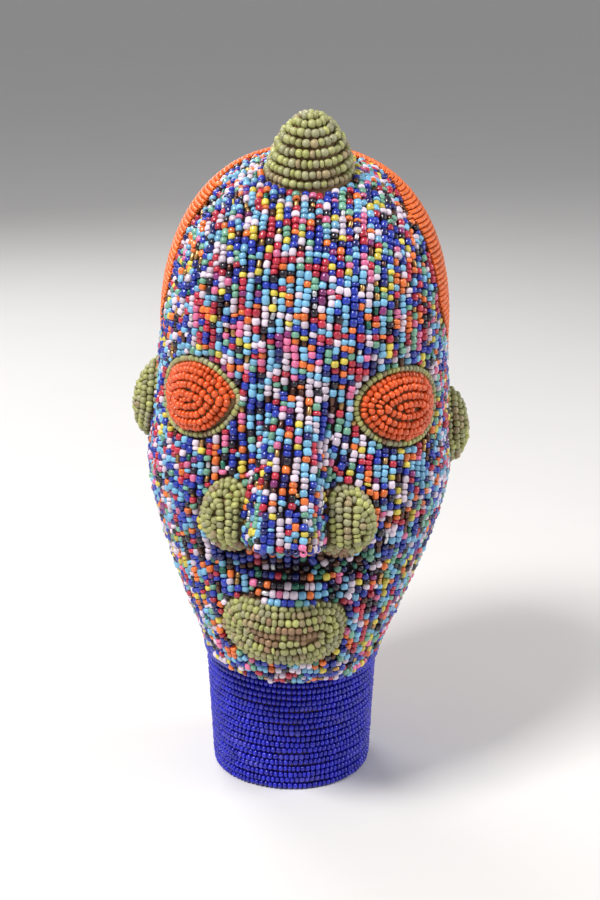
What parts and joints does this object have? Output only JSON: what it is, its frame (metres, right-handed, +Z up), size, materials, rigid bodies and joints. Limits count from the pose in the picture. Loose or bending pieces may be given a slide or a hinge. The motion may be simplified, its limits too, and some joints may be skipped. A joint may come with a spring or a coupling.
{
  "type": "beaded head figure",
  "caption": "Carved head on a round neck, covered in stitched glass seed beads, with raised beaded eyes, ears, nostrils, lips and topknot.",
  "frame": {"origin": "the centre of the round foot, on the surface that the head stands on", "axes": "+Z up through the neck, the face looks along -Y, +X to the viewer's right of the face"},
  "size_m": [0.152, 0.1663, 0.3095],
  "materials": {
    "carved_wood": "matte",
    "dark_cloth": "matte",
    "tan_cloth": "matte",
    "felt": "matte",
    "stuffed_pad": "matte",
    "mixed_beads": "glossy opaque glass seed beads in mixed colours",
    "orange_beads": "glossy opaque glass seed beads",
    "blue_beads": "glossy opaque glass seed beads",
    "green_beads": "satin opaque glass seed beads"
  },
  "bodies": {
    "root": {"base_disc": "felt", "wood_core": "carved_wood", "head_cloth": "dark_cloth", "back_panel_cloth": "tan_cloth", "neck_cloth": "tan_cloth", "face_beadwork": "mixed_beads", "jaw_strings": "mixed_beads", "lip_rows": "mixed_beads", "back_beadwork": "orange_beads", "neck_beadwork": "blue_beads", "topknot_pad": "stuffed_pad", "topknot_beadwork": "green_beads", "lips_pad": "stuffed_pad", "lips_beadwork": "green_beads", "left_eye_pad": "stuffed_pad", "left_eye_beadwork": "orange_beads", "left_eye_edging": "green_beads", "left_ear_pad": "stuffed_pad", "left_ear_beadwork": "green_beads", "left_nostril_pad": "stuffed_pad", "left_nostril_beadwork": "green_beads", "right_eye_pad": "stuffed_pad", "right_eye_beadwork": "orange_beads", "right_eye_edging": "green_beads", "right_ear_pad": "stuffed_pad", "right_ear_beadwork": "green_beads", "right_nostril_pad": "stuffed_pad", "right_nostril_beadwork": "green_beads"}
  },
  "joints": []
}
